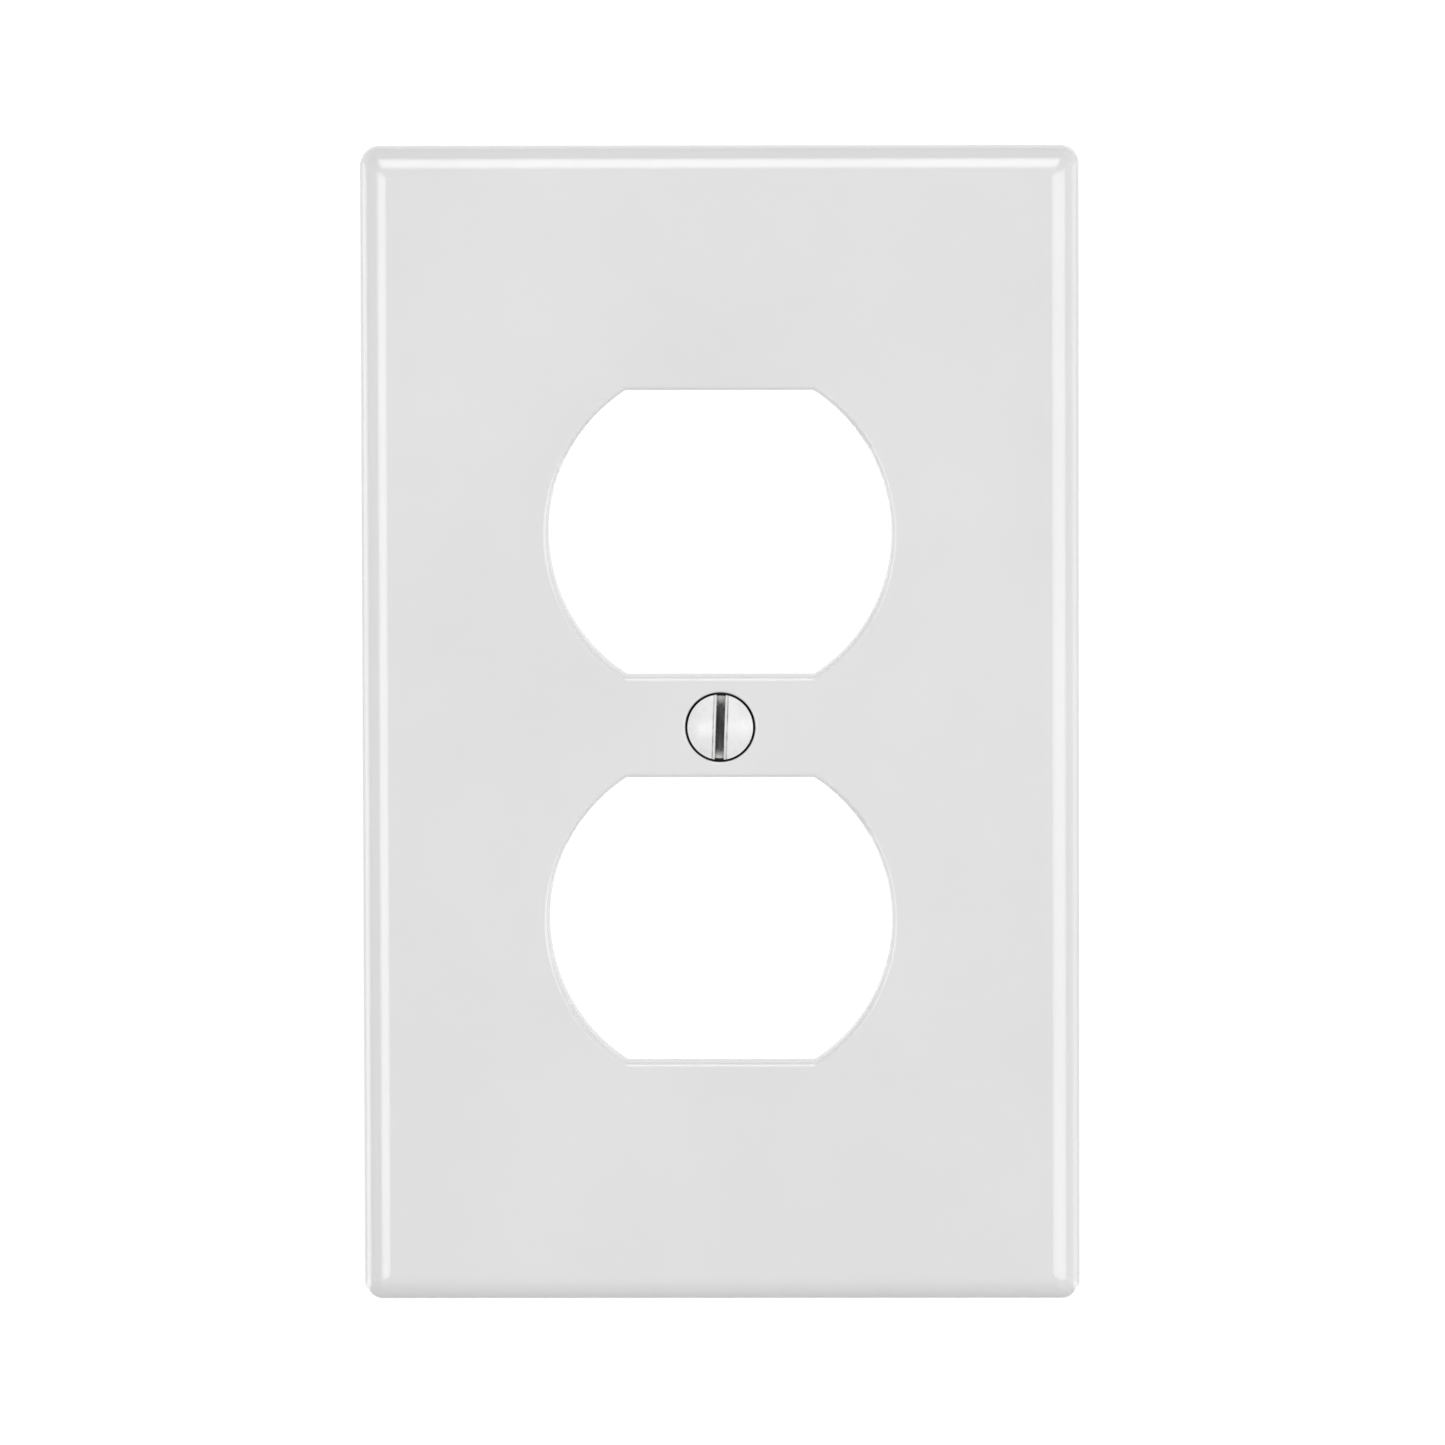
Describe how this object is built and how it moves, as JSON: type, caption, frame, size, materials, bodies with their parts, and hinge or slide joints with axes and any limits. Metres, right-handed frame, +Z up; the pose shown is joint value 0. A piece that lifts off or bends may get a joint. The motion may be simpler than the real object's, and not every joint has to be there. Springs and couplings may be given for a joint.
{
  "type": "duplex receptacle wall plate",
  "caption": "Rectangular wall plate with softly rounded edges, flat-sided round openings for a duplex receptacle, and a slotted oval-head centre screw.",
  "frame": {"origin": "the screw's axis, in the plane of the wall that the plate's back rim lies on", "axes": "+X across the plate, +Y into the wall so that the front faces -Y, +Z up along the plate's length"},
  "size_m": [0.0718, 0.0135, 0.116],
  "materials": {
    "plate_plastic": "glossy white moulding",
    "painted_screw": "white enamel over zinc-plated steel"
  },
  "bodies": {
    "plate": {"wall_plate": "plate_plastic"},
    "screw": {"mounting_screw": "painted_screw"}
  },
  "joints": [
    {"name": "screw_turn", "type": "hinge", "parent": "plate", "child": "screw", "pos_m": [0, 0, 0], "axis": [0, 1, 0], "continuous": true}
  ]
}
